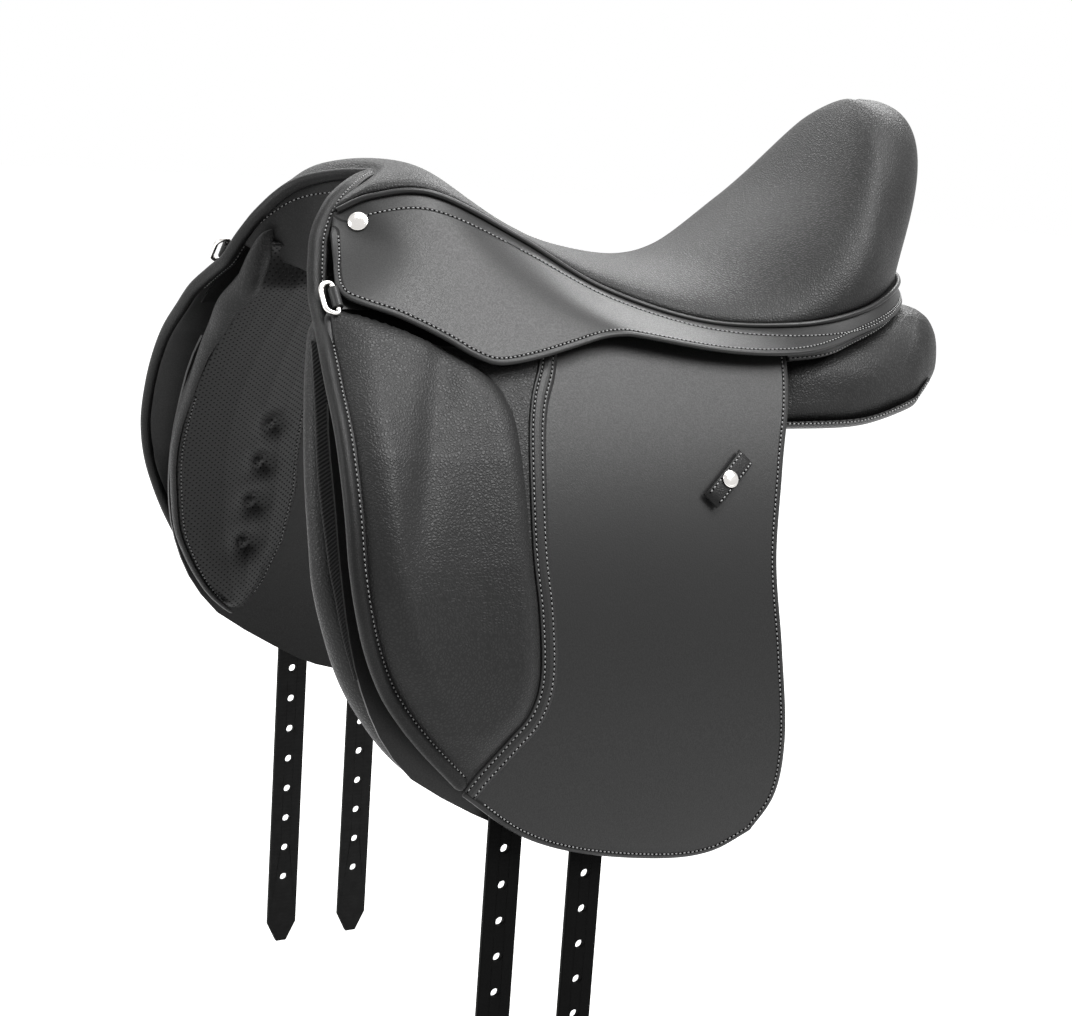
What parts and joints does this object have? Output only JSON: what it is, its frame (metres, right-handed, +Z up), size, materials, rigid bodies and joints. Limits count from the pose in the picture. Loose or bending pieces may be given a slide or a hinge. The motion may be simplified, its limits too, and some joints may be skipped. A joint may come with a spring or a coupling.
{
  "type": "dressage saddle",
  "caption": "Black dressage saddle with deep seat, lifting flaps with padded knee blocks, lifting skirts, swinging girth straps and front rings",
  "frame": {"origin": "on the centre plane over the spine channel, below the deepest point of the seat", "axes": "+X towards the cantle, +Y to the off (right) side, +Z up"},
  "size_m": [0.5223, 0.4418, 0.7062],
  "materials": {
    "tree_plastic": "moulded, hidden",
    "steel": "satin steel",
    "foam": "hidden seat foam",
    "seat_leather": "black, pebble grained",
    "block_leather": "black, pebble grained",
    "panel_leather": "black, fine grained",
    "perforated_leather": "black, perforated",
    "smooth_leather": "black, smooth and matte",
    "roll_leather": "black, lightly grained",
    "strap_leather": "black strap, ribbed",
    "webbing": "woven girth web, hidden",
    "thread": "black thread",
    "chrome": "polished metal, plain"
  },
  "bodies": {
    "saddle": {"tree": "tree_plastic", "gullet_plate": "steel", "seat_foam": "foam", "seat_cover": "seat_leather", "seat_welt": "smooth_leather", "gullet_facing": "smooth_leather", "pommel_roll": "roll_leather", "skirt_base_left": "smooth_leather", "skirt_base_right": "smooth_leather", "skirt_buttons": "chrome", "flap_head_left": "smooth_leather", "flap_head_right": "smooth_leather", "stirrup_bar_left": "steel", "stirrup_bar_right": "steel", "bar_rivets": "steel", "catch_pins": "steel", "panel_left": "panel_leather", "panel_right": "panel_leather", "panel_roll_left": "panel_leather", "panel_roll_right": "panel_leather", "front_pad_left": "perforated_leather", "front_pad_right": "perforated_leather", "pad_tufts": "thread", "sweat_flap_left": "smooth_leather", "sweat_flap_right": "smooth_leather", "girth_webs_left": "webbing", "girth_webs_right": "webbing", "ring_tab_left": "smooth_leather", "ring_tab_right": "smooth_leather"},
    "flap_left": {"flap_left": "smooth_leather", "flap_roll_left": "roll_leather", "knee_block_left": "block_leather", "block_piping_left": "smooth_leather", "keeper_left": "smooth_leather", "keeper_button_left": "chrome"},
    "skirt_left": {"skirt_left": "smooth_leather"},
    "billet_front_left": {"billet_front_left": "strap_leather"},
    "billet_rear_left": {"billet_rear_left": "strap_leather"},
    "d_ring_left": {"d_ring_left": "chrome"},
    "catch_left": {"catch_left": "steel"},
    "flap_right": {"flap_right": "smooth_leather", "flap_roll_right": "roll_leather", "knee_block_right": "block_leather", "block_piping_right": "smooth_leather", "keeper_right": "smooth_leather", "keeper_button_right": "chrome"},
    "skirt_right": {"skirt_right": "smooth_leather"},
    "billet_front_right": {"billet_front_right": "strap_leather"},
    "billet_rear_right": {"billet_rear_right": "strap_leather"},
    "d_ring_right": {"d_ring_right": "chrome"},
    "catch_right": {"catch_right": "steel"}
  },
  "joints": [
    {"name": "flap_lift_left", "type": "hinge", "parent": "saddle", "child": "flap_left", "pos_m": [-0.12, -0.13555, -0.0032], "axis": [-1, 0, 0], "range_deg": [0, 70]},
    {"name": "skirt_lift_left", "type": "hinge", "parent": "saddle", "child": "skirt_left", "pos_m": [-0.259, -0.07543, 0.07565], "axis": [-0.9184, 0.2736, 0.2856], "range_deg": [0, 55]},
    {"name": "billet_swing_front_left", "type": "hinge", "parent": "saddle", "child": "billet_front_left", "pos_m": [-0.165, -0.12056, -0.01975], "axis": [0, 0.9537, -0.3007], "range_deg": [-1.5, 8]},
    {"name": "billet_swing_rear_left", "type": "hinge", "parent": "saddle", "child": "billet_rear_left", "pos_m": [-0.104, -0.12056, -0.01975], "axis": [0, 0.9537, -0.3007], "range_deg": [-8, 1.5]},
    {"name": "ring_swing_left", "type": "hinge", "parent": "saddle", "child": "d_ring_left", "pos_m": [-0.2635, -0.10265, 0.03572], "axis": [0, 0.6808, 0.7325], "range_deg": [0, 95]},
    {"name": "catch_turn_left", "type": "hinge", "parent": "saddle", "child": "catch_left", "pos_m": [-0.134, -0.11071, 0.0283], "axis": [0, -0.7505, 0.6608], "range_deg": [0, 90]},
    {"name": "flap_lift_right", "type": "hinge", "parent": "saddle", "child": "flap_right", "pos_m": [-0.12, 0.13555, -0.0032], "axis": [1, 0, 0], "range_deg": [0, 70]},
    {"name": "skirt_lift_right", "type": "hinge", "parent": "saddle", "child": "skirt_right", "pos_m": [-0.259, 0.07543, 0.07565], "axis": [0.9184, 0.2736, -0.2856], "range_deg": [0, 55]},
    {"name": "billet_swing_front_right", "type": "hinge", "parent": "saddle", "child": "billet_front_right", "pos_m": [-0.165, 0.12056, -0.01975], "axis": [0, 0.9537, 0.3007], "range_deg": [-1.5, 8]},
    {"name": "billet_swing_rear_right", "type": "hinge", "parent": "saddle", "child": "billet_rear_right", "pos_m": [-0.104, 0.12056, -0.01975], "axis": [0, 0.9537, 0.3007], "range_deg": [-8, 1.5]},
    {"name": "ring_swing_right", "type": "hinge", "parent": "saddle", "child": "d_ring_right", "pos_m": [-0.2635, 0.10265, 0.03572], "axis": [0, 0.6808, -0.7325], "range_deg": [0, 95]},
    {"name": "catch_turn_right", "type": "hinge", "parent": "saddle", "child": "catch_right", "pos_m": [-0.134, 0.11071, 0.0283], "axis": [0, -0.7505, -0.6608], "range_deg": [0, 90]}
  ]
}
